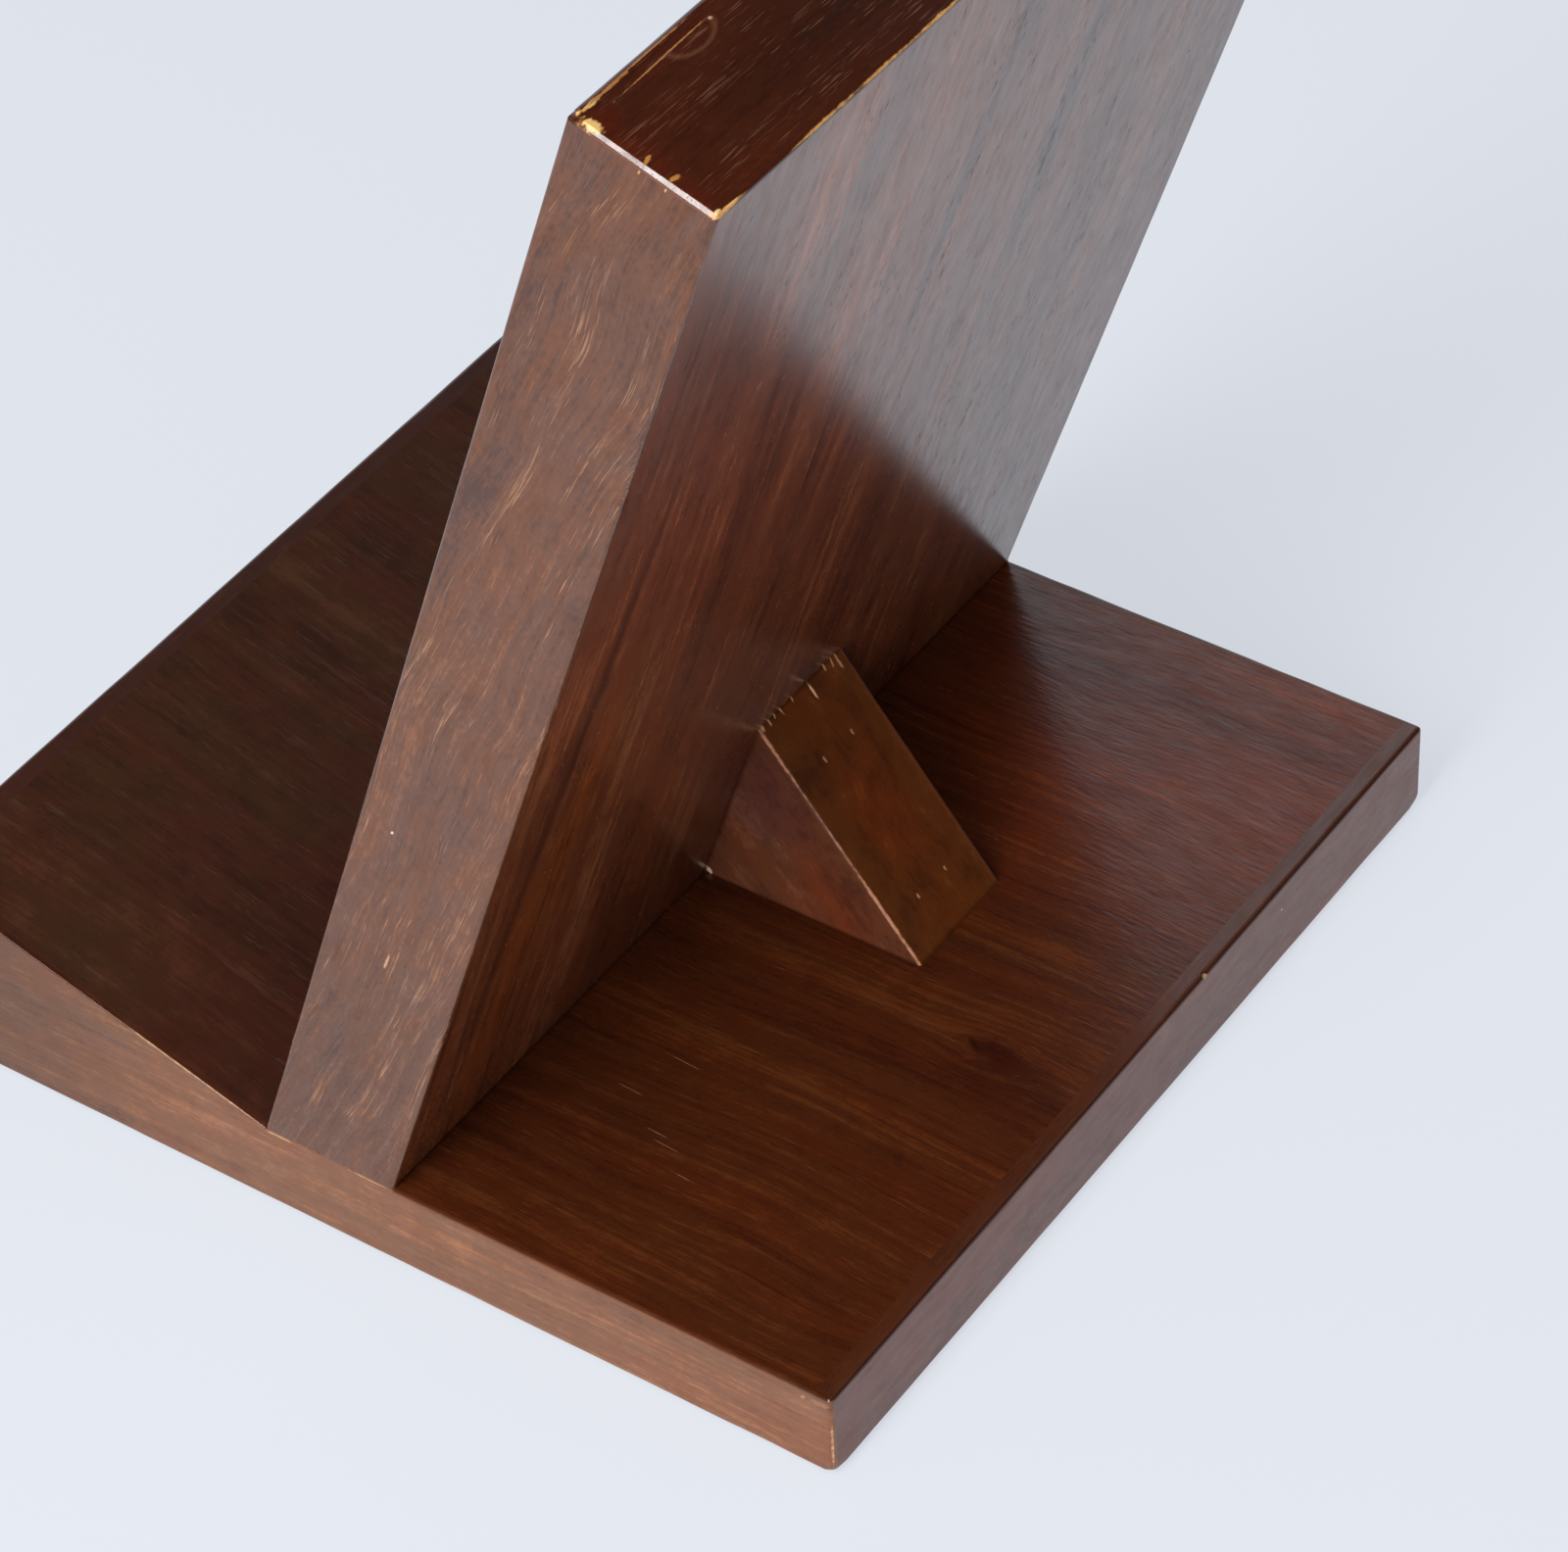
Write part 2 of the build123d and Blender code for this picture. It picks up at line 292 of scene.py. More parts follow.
class WoodGraph(Graph):
    """The nodes of a board's material. u runs across the grain, v along it and w into the board."""

    def __init__(self, tree, wood, look):
        super().__init__(tree)
        self.wood = wood
        self.look = look
        self.u, self.v, self.w = wood_place(self, wood)
        self.straight_u = self.u
        self.place = self.joined(self.u, self.v, self.w)
        self.normal = self.add("NewGeometry", {}, "Normal")

    def wood_noise(self, widths, shift, detail, roughness=0.5):
        parts = (self.u, self.v, self.w)
        return self.noise(stretched(self, parts, widths, self.look["seed"] + shift), detail, roughness)

    def oval(self, centre, reach, length, tilt=0.0):
        """Distance from a point of the part, 1 on an oval with the given reach across and along the grain."""
        shifted = self.away(self.place, in_wood(self.wood, centre))
        sheared = self.dot(shifted, (1 / reach, -tilt / reach, 0))
        long_part = self.dot(shifted, (0, 1 / length, 0))
        deep_part = self.dot(shifted, (0, 0, 1 / reach))
        joined = self.joined(sheared, long_part, deep_part)
        return self.vector("LENGTH", joined, (0, 0, 0), "Value")

    def bend(self, knots):
        """The grain sways as it runs along the board, and parts round a knot. The noises follow it."""
        size = self.look["sway_size"]
        sway = self.wood_noise((size, 2 * size, size), 0, 1.0)
        self.u = self.line(self.minus(sway, 0.5), self.look["sway"], self.u)
        for centre, reach, push in knots:
            side_way = self.minus(self.u, in_wood(self.wood, centre).x)
            pull = self.times(self.step(self.oval(centre, reach, 1.8 * reach), 1, 0), -push)
            self.u = self.line(side_way, pull, self.u)
        self.streak = self.wood_noise(streak_size, 2, 4.0, 0.6)
        self.ragged = self.wood_noise(ragged_size, 7, 3.0, 0.6)

    def grain(self, zones_with_painted_light):
        """Colour of the stained wood between its pores."""
        look = self.look
        noises = (
            self.wood_noise(figure_size, 1, 3.0, 0.55), self.streak,
            self.wood_noise(fibre_size, 3, 2.0, 0.6), self.wood_noise(mottle_size, 4, 3.0, 0.6),
            self.wood_noise(speckle_size, 3.6, 3.0, 0.65),
        )
        value = 0.0
        for part, share in zip(noises, look["mix"]):
            value = self.line(self.minus(part, 0.5), share, value)
        colour = self.blend(self.step(value, -0.32, 0.02), look["dark"], look["middle"])
        colour = self.blend(self.step(value, 0.02, 0.34), colour, look["light"])
        warmth = self.wood_noise(look["warmth_size"], 4.3, 3.0, 0.6)
        warm = self.blend(self.step(warmth, 0.35, 0.65), look["cool_tint"], look["warm_tint"])
        colour = self.tinted(1.0, colour, warm)
        # Zone tints: most are the wood's own colour, some are painted light and painted shade
        for centre, reach, length, tilt, tint in zones_with_painted_light:
            colour = self.tinted(self.step(self.oval(centre, reach, length, tilt), 1.1, 0.3), colour, tint)
        return colour

    def pores(self):
        """1 in an open pore. Pores are thin broken lines along the grain, gathered in bands."""
        look = self.look
        width, length = look["pore_size"]
        chance = self.wood_noise((width, length, width), 5, 2.2, 0.5)
        patch = self.wood_noise(pore_patch_size, 6, 2.0)
        chance = self.line(self.minus(patch, 0.5), 0.35, chance)
        chance = self.line(self.minus(self.streak, 0.5), 0.3, chance)
        for band_place, half_band in look["pore_bands"]:
            band_gap = self.math("ABSOLUTE", self.minus(self.u, band_place))
            chance = self.line(self.step(band_gap, half_band, 0.3 * half_band), 0.07, chance)
        strength = self.step(self.wood_noise(sheen_size, 5.5, 1.0), 0.35, 0.75)
        pores = self.step(chance, look["pore_level"], look["pore_level"] + 0.06)
        return self.times(pores, self.line(strength, 0.75, 0.25))

    def stained(self, colour, shaded_seams):
        """Stain is deeper on top of an edge band. Painted dark reflection on arrises, painted contact shade
        where pieces meet.
        """
        look = self.look
        for direction, tint in look["facing_tints"]:
            colour = self.tinted(self.step(self.dot(self.normal, direction), 0.15, 0.8), colour, tint)
        for direction, side_tone in look["facing_tones"]:
            colour = self.blend(self.step(self.dot(self.normal, direction), 0.5, 0.9), colour, side_tone)
        # Arrises between level and upright faces are darkened: a painted dark reflection.
        if look["arris_tint"]:
            facing = self.dot(self.normal, (0, 0, 1))
            turned = self.times(self.times(facing, self.minus(1, facing)), 4)
            colour = self.tinted(self.step(turned, 0.2, 0.9), colour, look["arris_tint"])
        origin, side, along = self.wood
        # Painted contact shade in the corner where two pieces meet
        for point, normal in shaded_seams:
            turned_normal = tuple(normal.dot(axis) for axis in (side, along, side.cross(along)))
            seam_gap = self.dot(self.away(self.place, in_wood(self.wood, point)), turned_normal)
            shade = self.times(self.step(self.math("ABSOLUTE", seam_gap), 0.8, 0.1), 0.6)
            colour = self.tinted(shade, colour, seam_shade_tint)
        return colour

    def rubbed(self, colour):
        """Rubbed arrises show the pale ground. Gives the colour, and 1 where the wood is rubbed."""
        gap = self.add("Attribute", {}, "Fac", attribute_name="edge_gap")
        wear = self.add("Attribute", {}, "Fac", attribute_name="edge_wear")
        patchy = self.wood_noise(rub_patch_size, 8, 2.0)
        reach = self.times(wear, self.line(self.ragged, 0.8, patchy))
        rub = self.step(self.minus(reach, gap), -0.05, 0.22)
        ground = self.blend(self.ragged, self.look["rubbed_dark"], self.look["rubbed"])
        return self.blend(rub, colour, ground), rub

    def marked(self, colour, rub, spots_and_glints, rings):
        """Spots, one of them a painted glint on the block, and the halves of rings that lie past their centre
        in u.
        """
        for centre, reach, length, tilt, mark_colour in spots_and_glints:
            uneven = self.times(self.minus(self.ragged, 0.5), 1.6)
            spot = self.step(self.plus(self.oval(centre, reach, length, tilt), uneven), 1.1, 0.55)
            colour = self.blend(spot, colour, mark_colour)
            rub = self.math("MAXIMUM", rub, spot)
        for centre, reach, length, width, mark_colour in rings:
            rim = self.math("ABSOLUTE", self.minus(self.oval(centre, reach, length), 1))
            rim = self.line(self.ragged, width, rim)
            ring = self.step(rim, 1.6 * width, 0.3 * width)
            past = self.minus(self.straight_u, in_wood(self.wood, centre).x)
            ring = self.times(ring, self.step(past, -0.2 * reach, 0.1 * reach))
            colour = self.blend(self.times(ring, 0.6), colour, mark_colour)
        return colour, rub

    def lacquered(self, colour, pores, rub):
        """The lacquer sinks into the pores and is dull where it is rubbed."""
        look = self.look
        sheen = self.minus(self.wood_noise(sheen_size, 9.5, 3.0, 0.65), 0.5)
        roughness = self.minus(look["roughness"], self.times(sheen, 0.15))
        roughness = self.line(pores, 0.06, roughness)
        roughness = self.line(rub, 0.15, roughness)
        ior = self.line(sheen, look["sheen"], look["ior"])
        ior = self.minus(ior, self.times(self.math("MAXIMUM", pores, rub), look["sunk_ior"]))
        flat = self.step(self.dot(self.normal, (0, 0, 1)), 0.5, 0.9)
        ior = self.line(flat, look["level_ior"], ior)
        ripple = self.times(self.wood_noise(look["ripple_size"], 9, 2.5), look["ripple"])
        height = self.line(pores, -look["pore_sink"], ripple)
        self.coat(colour, roughness, height, bump_depth, IOR=ior)


def walnut(finish, wood, look, worn=False, zones_with_painted_light=(), knots=(), spots_and_glints=(), rings=(), shaded_seams=()):
    """
    Stained walnut under satin lacquer. Zones tint an oval of the wood; some are painted light and painted
    shade.
    Knots bend the grain round a point. Spots and rings are marks; one spot of the block is a painted glint.
    Seams are planes, each a point and a normal, along which painted contact shade darkens a joint.
    """
    board = new_material(finish, "walnut_" + finish, WoodGraph, wood, look)
    board.bend(knots)
    pores = board.pores()
    colour = board.blend(board.times(pores, look["pore_depth"]), board.grain(zones_with_painted_light), look["pore"])
    colour = board.stained(colour, shaded_seams)
    colour, rub = board.rubbed(colour) if worn else (colour, 0.0)
    colour, rub = board.marked(colour, rub, spots_and_glints, rings)
    board.lacquered(colour, pores, rub)


def board_core():
    """Pale fibreboard, seen only where a piece is lifted away."""
    graph = new_material("core", "fibreboard")
    place = graph.part_place()
    chips = graph.noise(place, 4.0, 0.7)
    clouds = graph.noise(graph.scaled(place, 0.1), 2.0)
    colour = graph.blend(graph.step(chips, 0.3, 0.7), tone(148, 112, 76), tone(186, 150, 108))
    colour = graph.blend(graph.times(clouds, 0.35), colour, tone(132, 98, 66))
    graph.coat(colour, graph.line(chips, 0.2, 0.65), chips, 0.05)


def beech():
    """Bare beech with short dark flecks, for the dowels."""
    graph = new_material("beech", "beech")
    parts = wood_place(graph, (Vector((0, 0, 0)), across, upright))
    flecks = graph.noise(stretched(graph, parts, (0.3, 2.2, 0.3), 4.4), 2.0)
    grain = graph.noise(stretched(graph, parts, (0.8, 30, 0.8), 2.2), 3.0)
    colour = graph.blend(graph.step(grain, 0.3, 0.7), tone(196, 156, 112), tone(220, 186, 142))
    flecks = graph.times(graph.step(flecks, 0.6, 0.68), 0.6)
    colour = graph.blend(flecks, colour, tone(150, 104, 66))
    graph.coat(colour, graph.line(grain, 0.15, 0.5), grain, 0.05)


def steel():
    """Zinc-plated steel, a little cloudy and scratched."""
    graph = new_material("steel", "plated_steel")
    place = graph.part_place()
    clouds = graph.noise(graph.scaled(place, 0.8), 3.0)
    grit = graph.noise(graph.scaled(place, 6.0), 2.0)
    colour = graph.blend(clouds, tone(120, 116, 104), tone(172, 170, 164))
    graph.coat(colour, graph.line(clouds, 0.25, 0.25), grit, 0.01, Metallic=1.0)


def felt():
    """Dark pressed felt, matted and a little fluffy."""
    graph = new_material("felt", "felt")
    place = graph.part_place()
    hairs = graph.noise(graph.scaled(place, 5.0), 4.0, 0.7, 1.5)
    clumps = graph.noise(graph.scaled(place, 0.8), 2.0)
    colour = graph.blend(graph.step(hairs, 0.3, 0.7), tone(34, 29, 26), tone(66, 58, 52))
    colour = graph.blend(graph.times(clumps, 0.4), colour, tone(44, 38, 34))
    fluff = {"Sheen Weight": 0.3, "Sheen Roughness": 0.5}
    graph.coat(colour, graph.line(hairs, 0.1, 0.85), hairs, 0.12, **fluff)


# Looks of the wood. Sizes are millimetres, and tints multiply the colour.
ochre = tone(205, 160, 95)
wood_defaults = {
    "sway": 6, "sway_size": 60, "mix": (0.9, 0.55, 0.2, 0.3, 0.25),
    "warmth_size": (8, 60, 8), "cool_tint": (0.95, 1.02, 1.05, 1), "warm_tint": (1.06, 0.97, 0.9, 1),
    "pore_size": (0.2, 9), "pore_level": 0.64, "pore_depth": 0.4, "pore_sink": 1.0, "pore_bands": (),
    "ripple_size": (0.9, 5, 0.9), "ripple": 0.5, "roughness": 0.22,
    "ior": 1.5, "sheen": 0.4, "sunk_ior": 0.2, "level_ior": 0,
    "rubbed": ochre, "rubbed_dark": tone(150, 95, 45), "facing_tints": (), "facing_tones": (),
    "arris_tint": None,
}
face_look = {
    **wood_defaults, "seed": 3.1, "dark": tone(50, 18, 6), "middle": tone(64, 27, 9),
    "light": tone(82, 39, 15), "pore": tone(100, 58, 34), "ripple": 5, "roughness": 0.24,
    "pore_depth": 0.35, "pore_sink": 0.3, "pore_size": (0.22, 6),
    "ripple_size": (0.7, 4, 0.7), "mix": (0.9, 1.0, 0.5, 0.4, 0.4), "sway": 9, "sway_size": 30,
}
panel_look = {
    **wood_defaults, "seed": 5.3, "dark": tone(50, 22, 12), "middle": tone(77, 38, 21),
    "light": tone(108, 62, 37), "pore": tone(44, 22, 14), "pore_size": (0.45, 3),
    "pore_bands": ((6, 5), (-26, 5)), "pore_sink": 0.05, "pore_level": 0.615, "pore_depth": 0.5,
    "ripple": 1.0, "ripple_size": (1.1, 14, 1.1), "ior": 1.58, "sheen": 0.8, "sunk_ior": 0.35,
    "mix": (0.9, 1.0, 0.45, 0.4, 0.35),
}
ramp_look = {
    **wood_defaults, "seed": 9.4, "dark": tone(43, 22, 12), "middle": tone(54, 28, 15),
    "light": tone(67, 37, 22), "pore": tone(84, 56, 40), "pore_depth": 0.2, "pore_size": (0.24, 5),
    "mix": (0.8, 0.7, 0.3, 0.7, 0.35), "warmth_size": (10, 22, 10), "ripple": 1.2, "roughness": 0.19,
    "cool_tint": (0.94, 1.06, 0.97, 1), "warm_tint": (1.07, 0.92, 0.97, 1),
}
side_look = {
    **wood_defaults, "seed": 7.7, "dark": tone(72, 39, 21), "middle": tone(98, 58, 32),
    "light": tone(126, 80, 48), "pore": tone(160, 118, 86), "pore_depth": 0.12,
    "mix": (0.8, 0.75, 0.4, 0.45, 0.4), "rubbed": tone(182, 146, 114), "rubbed_dark": tone(142, 100, 72),
    "facing_tints": (((0, 0, 1), (0.38, 0.23, 0.16, 1)),),
}
panel_side_look = {
    **side_look, "seed": 8.8, "dark": tone(60, 35, 24), "middle": tone(80, 47, 29),
    "light": tone(101, 62, 39), "pore": tone(170, 132, 106), "pore_depth": 0.38, "pore_level": 0.67,
    "pore_size": (0.2, 8),
    "pore_bands": ((-5, 1.6), (-12.5, 1.4), (-19, 1.8), (-26, 1.4), (-33, 1.6), (-40, 1.5)),
    "mix": (0.7, 0.7, 0.6, 0.4, 0.6), "warmth_size": (5, 18, 5),
    "cool_tint": (0.93, 1.0, 1.2, 1), "warm_tint": (1.05, 0.99, 0.84, 1),
    "facing_tints": (), "sway": 10, "sway_size": 25,
}
top_look = {
    **wood_defaults, "seed": 12.3, "dark": tone(44, 14, 3), "middle": tone(56, 20, 5),
    "light": tone(68, 28, 9), "pore": tone(118, 78, 52), "pore_size": (0.22, 7), "pore_depth": 0.5,
    "roughness": 0.11, "mix": (0.9, 0.8, 0.4, 0.5, 0.5), "sway": 3,
    "facing_tones": (((1, 0, 0), tone(88, 54, 40)), ((-1, 0, 0), tone(88, 54, 40))),
}
# The lippings' arris tint is a painted dark reflection on their arrises.
end_look = {
    **side_look, "seed": 14.2, "dark": tone(78, 44, 36), "middle": tone(93, 54, 44),
    "light": tone(110, 68, 56), "mix": (0.7, 0.4, 0.3, 0.6, 0.4), "rubbed": tone(160, 128, 96),
    "facing_tints": (((0, 0, 1), (0.52, 0.38, 0.2, 1)),), "arris_tint": (0.4, 0.38, 0.4, 1), "ior": 1.4,
    "level_ior": 0.2,
}
front_look = {**end_look, "seed": 16.1, "facing_tints": (((0, 0, 1), (0.34, 0.28, 0.22, 1)),)}
block_look = {
    **wood_defaults, "seed": 21.9, "dark": tone(58, 26, 9), "middle": tone(77, 37, 12),
    "light": tone(99, 52, 20), "pore": tone(110, 66, 42), "pore_depth": 0.15, "rubbed": tone(166, 118, 92),
    "rubbed_dark": tone(122, 80, 58), "facing_tints": (((1, 0, 0), (1.03, 1.24, 2.8, 1)),),
    "mix": (0.6, 0.3, 0.2, 0.8, 0.4), "sway": 12, "sway_size": 18, "ripple": 1.5, "ior": 1.22,
}

# Wood of each board: a place in it, the direction across its grain and the direction along its grain
grain_slant = math.radians(5.5)
side_grain = panel_up * math.cos(grain_slant) + panel_back * math.sin(grain_slant)
side_across = panel_back * math.cos(grain_slant) - panel_up * math.sin(grain_slant)
block_down = Vector((0, block_toe.y - block_apex.y, block_toe.z - block_apex.z)).normalized()
block_outward = Vector((0, -block_down.z, block_down.y))
base_wood = (Vector((0, 0, base_top)), across, level)
panel_wood = (panel_foot, across, panel_up)
ramp_wood = (Vector((0, foot_front, base_top)), across, ramp_down)
side_wood = (Vector((half_width, 0, base_top)), upright, level)
panel_side_wood = (panel_foot + across * half_width, side_across, side_grain)
top_wood = (on_panel(0, panel_length, 0), panel_back, across)
end_wood = (Vector((0, rear_edge, base_top)), upright, across)
block_wood = (block_apex, across, block_down)


def on_base(x, y):
    return Vector((x, y, base_top))


def on_side(y, z):
    return Vector((half_width, y, z))


def on_top(x, depth):
    """Point on the panel's top edge at a depth in from its back."""
    return on_panel(x, panel_length, depth)


def on_slant(x, down):
    """Point on the block's slanted face at a distance down from its top edge."""
    return block_apex + across * x + block_down * down


# Marks, and zones of the wood's own tints, of painted light and of painted shade. A zone or spot is its
# centre, its reach across the grain, its length along it, its tilt and its tint or colour. One spot of the
# block is a painted glint.
# A ring has its rim's width in place of the tilt. A knot has a reach and a push.
base_zones_with_painted_light = (
    # Painted light: the far rear of the base top is brightened in place of a second lamp and a warm
    # reflection
    (on_base(-70, 62), 60, 70, 0, (1.9, 1.5, 1.1, 1)),
    (on_base(70, 22), 40, 30, 0, (0.84, 0.84, 0.84, 1)),
    (on_base(20, 80), 12, 14, 0, (0.8, 0.72, 0.7, 1)), (on_base(15, 75), 4, 8, 0.2, (0.6, 0.42, 0.52, 1)),
    (on_base(15, 70.5), 0.9, 2.2, 0.5, (0.55, 0.45, 0.5, 1)),
    (on_base(18.5, 71), 0.7, 1.8, -0.4, (1.6, 1.4, 1.3, 1)),
)
base_knots = ((on_base(16, 73), 9, 0.75),)
scratches = ((62.5, 40, 3.2), (60.8, 37, 2.6), (66.9, 46, 2.8), (54.8, 27, 3.5), (44.7, 31.5, 4.2))
base_spots = [(on_base(x, y), 0.1, length, 0.05, tone(118, 76, 54)) for x, y, length in scratches]
panel_zones_with_painted_light_and_shade = (
    (on_panel(75, 55, 0), 9, 85, -0.09, (1.35, 1.2, 0.8, 1)),
    (on_panel(80, 120, 0), 2.2, 120, -0.06, (0.62, 0.6, 0.65, 1)),
    (on_panel(6, 190, 0), 3, 80, 0, (0.5, 0.48, 0.52, 1)),
    (on_panel(-27, 190, 0), 5, 90, 0, (0.45, 0.45, 0.5, 1)),
    # Painted light: the panel's upper back is brightened in place of lamp light
    (on_panel(60, 190, 0), 90, 110, 0, (1.5, 1.4, 1.35, 1)),
    # Painted shade: the panel's back is darker low down beside the block
    (on_panel(10, 15, 0), 45, 40, 0, (0.6, 0.6, 0.65, 1)),
)
panel_spots = ((on_panel(77.6, 86.3, 0), 0.35, 0.5, 0, tone(26, 12, 8)),)
side_spots = (
    (on_side(-17, 18.5), 0.35, 2.8, 0, tone(148, 112, 74)),
    (on_side(1.5, 18.6), 0.2, 4.0, 0, tone(146, 110, 82)),
    (on_side(92.6, 17.2), 0.7, 2.2, 0.1, tone(118, 82, 60)),
    (on_side(89.5, 17.0), 0.5, 0.6, 0.5, tone(130, 94, 72)),
)
panel_side_spots = (
    (on_panel(half_width, 84.2, 19.1), 0.36, 0.45, 0, tone(190, 158, 132)),
    (on_panel(half_width, 244.6, 12.9), 0.2, 0.5, 0, tone(150, 112, 76)),
    (on_panel(half_width, 244.7, 8.4), 0.2, 0.5, 0, tone(160, 120, 80)),
    (on_panel(half_width, 54.3, 13.4), 0.28, 2.4, -0.05, tone(152, 116, 92)),
)
chip_tone = tone(158, 108, 50)
scratch_tone = tone(150, 98, 52)
top_spots = (
    (on_top(94.0, 21.8), 1.9, 1.0, 0, tone(204, 162, 98)), (on_top(93.9, 24.7), 0.5, 1.1, 0, ochre),
    (on_top(95, 24.0), 0.9, 0.6, 0, tone(160, 116, 76)),
    (on_top(93.5, 12.9), 0.42, 1.0, 0.2, chip_tone), (on_top(93.4, 8.4), 0.45, 1.1, -0.2, chip_tone),
    (on_top(94.0, 0.8), 0.35, 0.8, 0, tone(205, 172, 120)), (on_top(91.5, 0.3), 0.2, 2.5, 0, ochre),
    (on_top(91.2, 24.3), 0.42, 2.2, 0, tone(196, 152, 88)),
    (on_top(87, 24.4), 0.3, 5.5, 0, scratch_tone), (on_top(78, 24.6), 0.16, 10, 0, scratch_tone),
    (on_top(76, 22.6), 0.16, 11, 0.02, scratch_tone), (on_top(65.6, 22.4), 0.3, 0.4, 0, tone(190, 158, 126)),
    (on_top(44, 24.4), 0.16, 12, 0, scratch_tone),
)
top_rings = ((on_top(70.6, 22.4), 2.6, 5.0, 0.2, tone(98, 60, 40)),)
top_zones = (
    (on_top(35, 10), 22, 45, 0, (0.8, 0.82, 0.75, 1)),
    (on_top(half_width, 12), 20, 5, 0, (1.35, 1.15, 1.0, 1)),
    (on_top(91.5, 21), 3, 3.5, 0, (1.3, 0.95, 0.9, 1)),
)
filler = tone(154, 112, 78)
apex_chips = (
    (-18.8, 1.6, 0.35, 1.5, 0), (-17.4, 0.9, 0.2, 1.1, 0.3), (-15.4, 0.4, 0.3, 0.9, 0.2),
    (-5.6, 0.4, 0.2, 0.8, 0.2), (-2.2, 0.4, 0.25, 1.0, -0.2), (-0.4, 0.3, 0.2, 0.9, 0.3),
    (1.3, 0.5, 0.25, 0.9, 0), (3.2, 0.4, 0.4, 0.9, 0),
)
block_spots_and_glint = (
    *((on_slant(x, down), 0.32, 0.7, 0, filler) for x, down in brad_places),
    *((on_slant(x, down), reach, length, tilt, filler) for x, down, reach, length, tilt in apex_chips),
    (on_slant(-10.4, 2.0), 0.35, 1.8, 0, tone(196, 152, 116)),
    (on_slant(block_low.x + 0.5, 28), 0.7, 24, 0, tone(84, 44, 22)),
    # Painted glint: a pale spot at the foot of the block's near side
    (Vector((block_high.x, foot_rear + 1.2, base_top + 0.8)), 0.6, 0.9, 0, tone(176, 152, 130)),
)
block_zones = (
    (on_slant(-8.4, 27), 8, 14, 0, (1.12, 0.92, 0.88, 1)),
    (Vector((block_high.x, foot_rear + 12, 44)), 14, 16, 0, (0.9, 1.0, 1.5, 1)),
    (Vector((block_high.x, foot_rear + 28, 24)), 10, 12, 0, (1.08, 0.88, 0.8, 1)),
)
rear_chip = -20.2
end_spots = (
    (Vector((rear_chip, rear_edge, base_top - 0.5)), 0.6, 0.7, 0, tone(150, 120, 86)),
    (Vector((-45.9, rear_edge, 13.5)), 0.35, 0.4, 0, tone(170, 150, 140)),
)
side_zones = (
    (on_side(-95, 25), 50, 60, 0, (0.63, 0.59, 0.4, 1)), (on_side(91, 15), 4, 5, 0, (1.15, 1.22, 1.4, 1)),
)
panel_side_zones = ((on_panel(half_width, 5, 14), 30, 70, 0, (0.9, 0.88, 0.84, 1)),)
ramp_zones = ((Vector((70, foot_front - 12, top_height(foot_front - 12))), 50, 30, 0, (1.0, 0.78, 0.82, 1)),)
# Planes along which painted contact shade darkens the wood: the level of the base's top, and the plane of the
# panel's back
foot_shade_seam = (panel_foot, upright)
back_shade_seam = (panel_foot, panel_back)

walnut("base_face", base_wood, face_look, zones_with_painted_light=base_zones_with_painted_light, knots=base_knots, spots_and_glints=base_spots,
       shaded_seams=(back_shade_seam,))
walnut("underside", base_wood, {**face_look, "seed": 17.5})
walnut("panel_face", panel_wood, panel_look, zones_with_painted_light=panel_zones_with_painted_light_and_shade, spots_and_glints=panel_spots, shaded_seams=(foot_shade_seam,))
walnut("panel_front", panel_wood, {**panel_look, "seed": 6.6, "sheen": 0.4})
walnut("ramp_face", ramp_wood, ramp_look, zones_with_painted_light=ramp_zones)
walnut("base_side", side_wood, side_look, worn=True, zones_with_painted_light=side_zones, spots_and_glints=side_spots)
walnut("panel_side", panel_side_wood, panel_side_look, worn=True, zones_with_painted_light=panel_side_zones,
       spots_and_glints=panel_side_spots)
walnut("panel_top", top_wood, top_look, worn=True, zones_with_painted_light=top_zones, spots_and_glints=top_spots, rings=top_rings)
walnut("base_end", end_wood, end_look, worn=True, spots_and_glints=end_spots)
walnut("base_front", end_wood, front_look, worn=True)
walnut("block", block_wood, block_look, worn=True, zones_with_painted_light=block_zones, spots_and_glints=block_spots_and_glint,
       shaded_seams=(foot_shade_seam, back_shade_seam))
board_core()
beech()
steel()
felt()


def near_places(reach):
    """Distances from an edge that draw its rounding and the flat beside it."""
    if not reach:
        return [0]
    return [reach * share for share in arc_shares] + [reach + gap for gap in support_gaps]


def stations(length, low_reach, high_reach, step, fine=()):
    """Places along a side as (share, offset) pairs: offsets near an eased end, and shares between."""
    low, high = near_places(low_reach), near_places(high_reach)
    start, end = low[-1], high[-1]
    span = length - start - end
    count = max(1, round(span / step))
    inner = [index / count for index in range(1, count)]
    for centre, spread, parts in fine:
        inner += [(centre + spread * (index / parts - 0.5) - start) / span for index in range(parts + 1)]
    places = [(0, gap) for gap in low]
    places += [(share, start * (1 - share) - end * share) for share in sorted(inner) if 0 < share < 1]
    return places + [(1, -gap) for gap in reversed(high)]


def eased_radius(point, amount):
    """Radius of an arris at a point: hand sanding has taken a little more off in places."""
    extra = max(0, noise.noise(point / arris_wavelength) + 0.15)
    return max(0.02, arris * amount * (1 + arris_wobble * extra))


def evenly(wear):
    """Wear that is the same all over a piece."""
    return lambda point: wear


def new_object(name, data):
    thing = bpy.data.objects.new(name, data)
    bpy.context.scene.collection.objects.link(thing)
    return thing


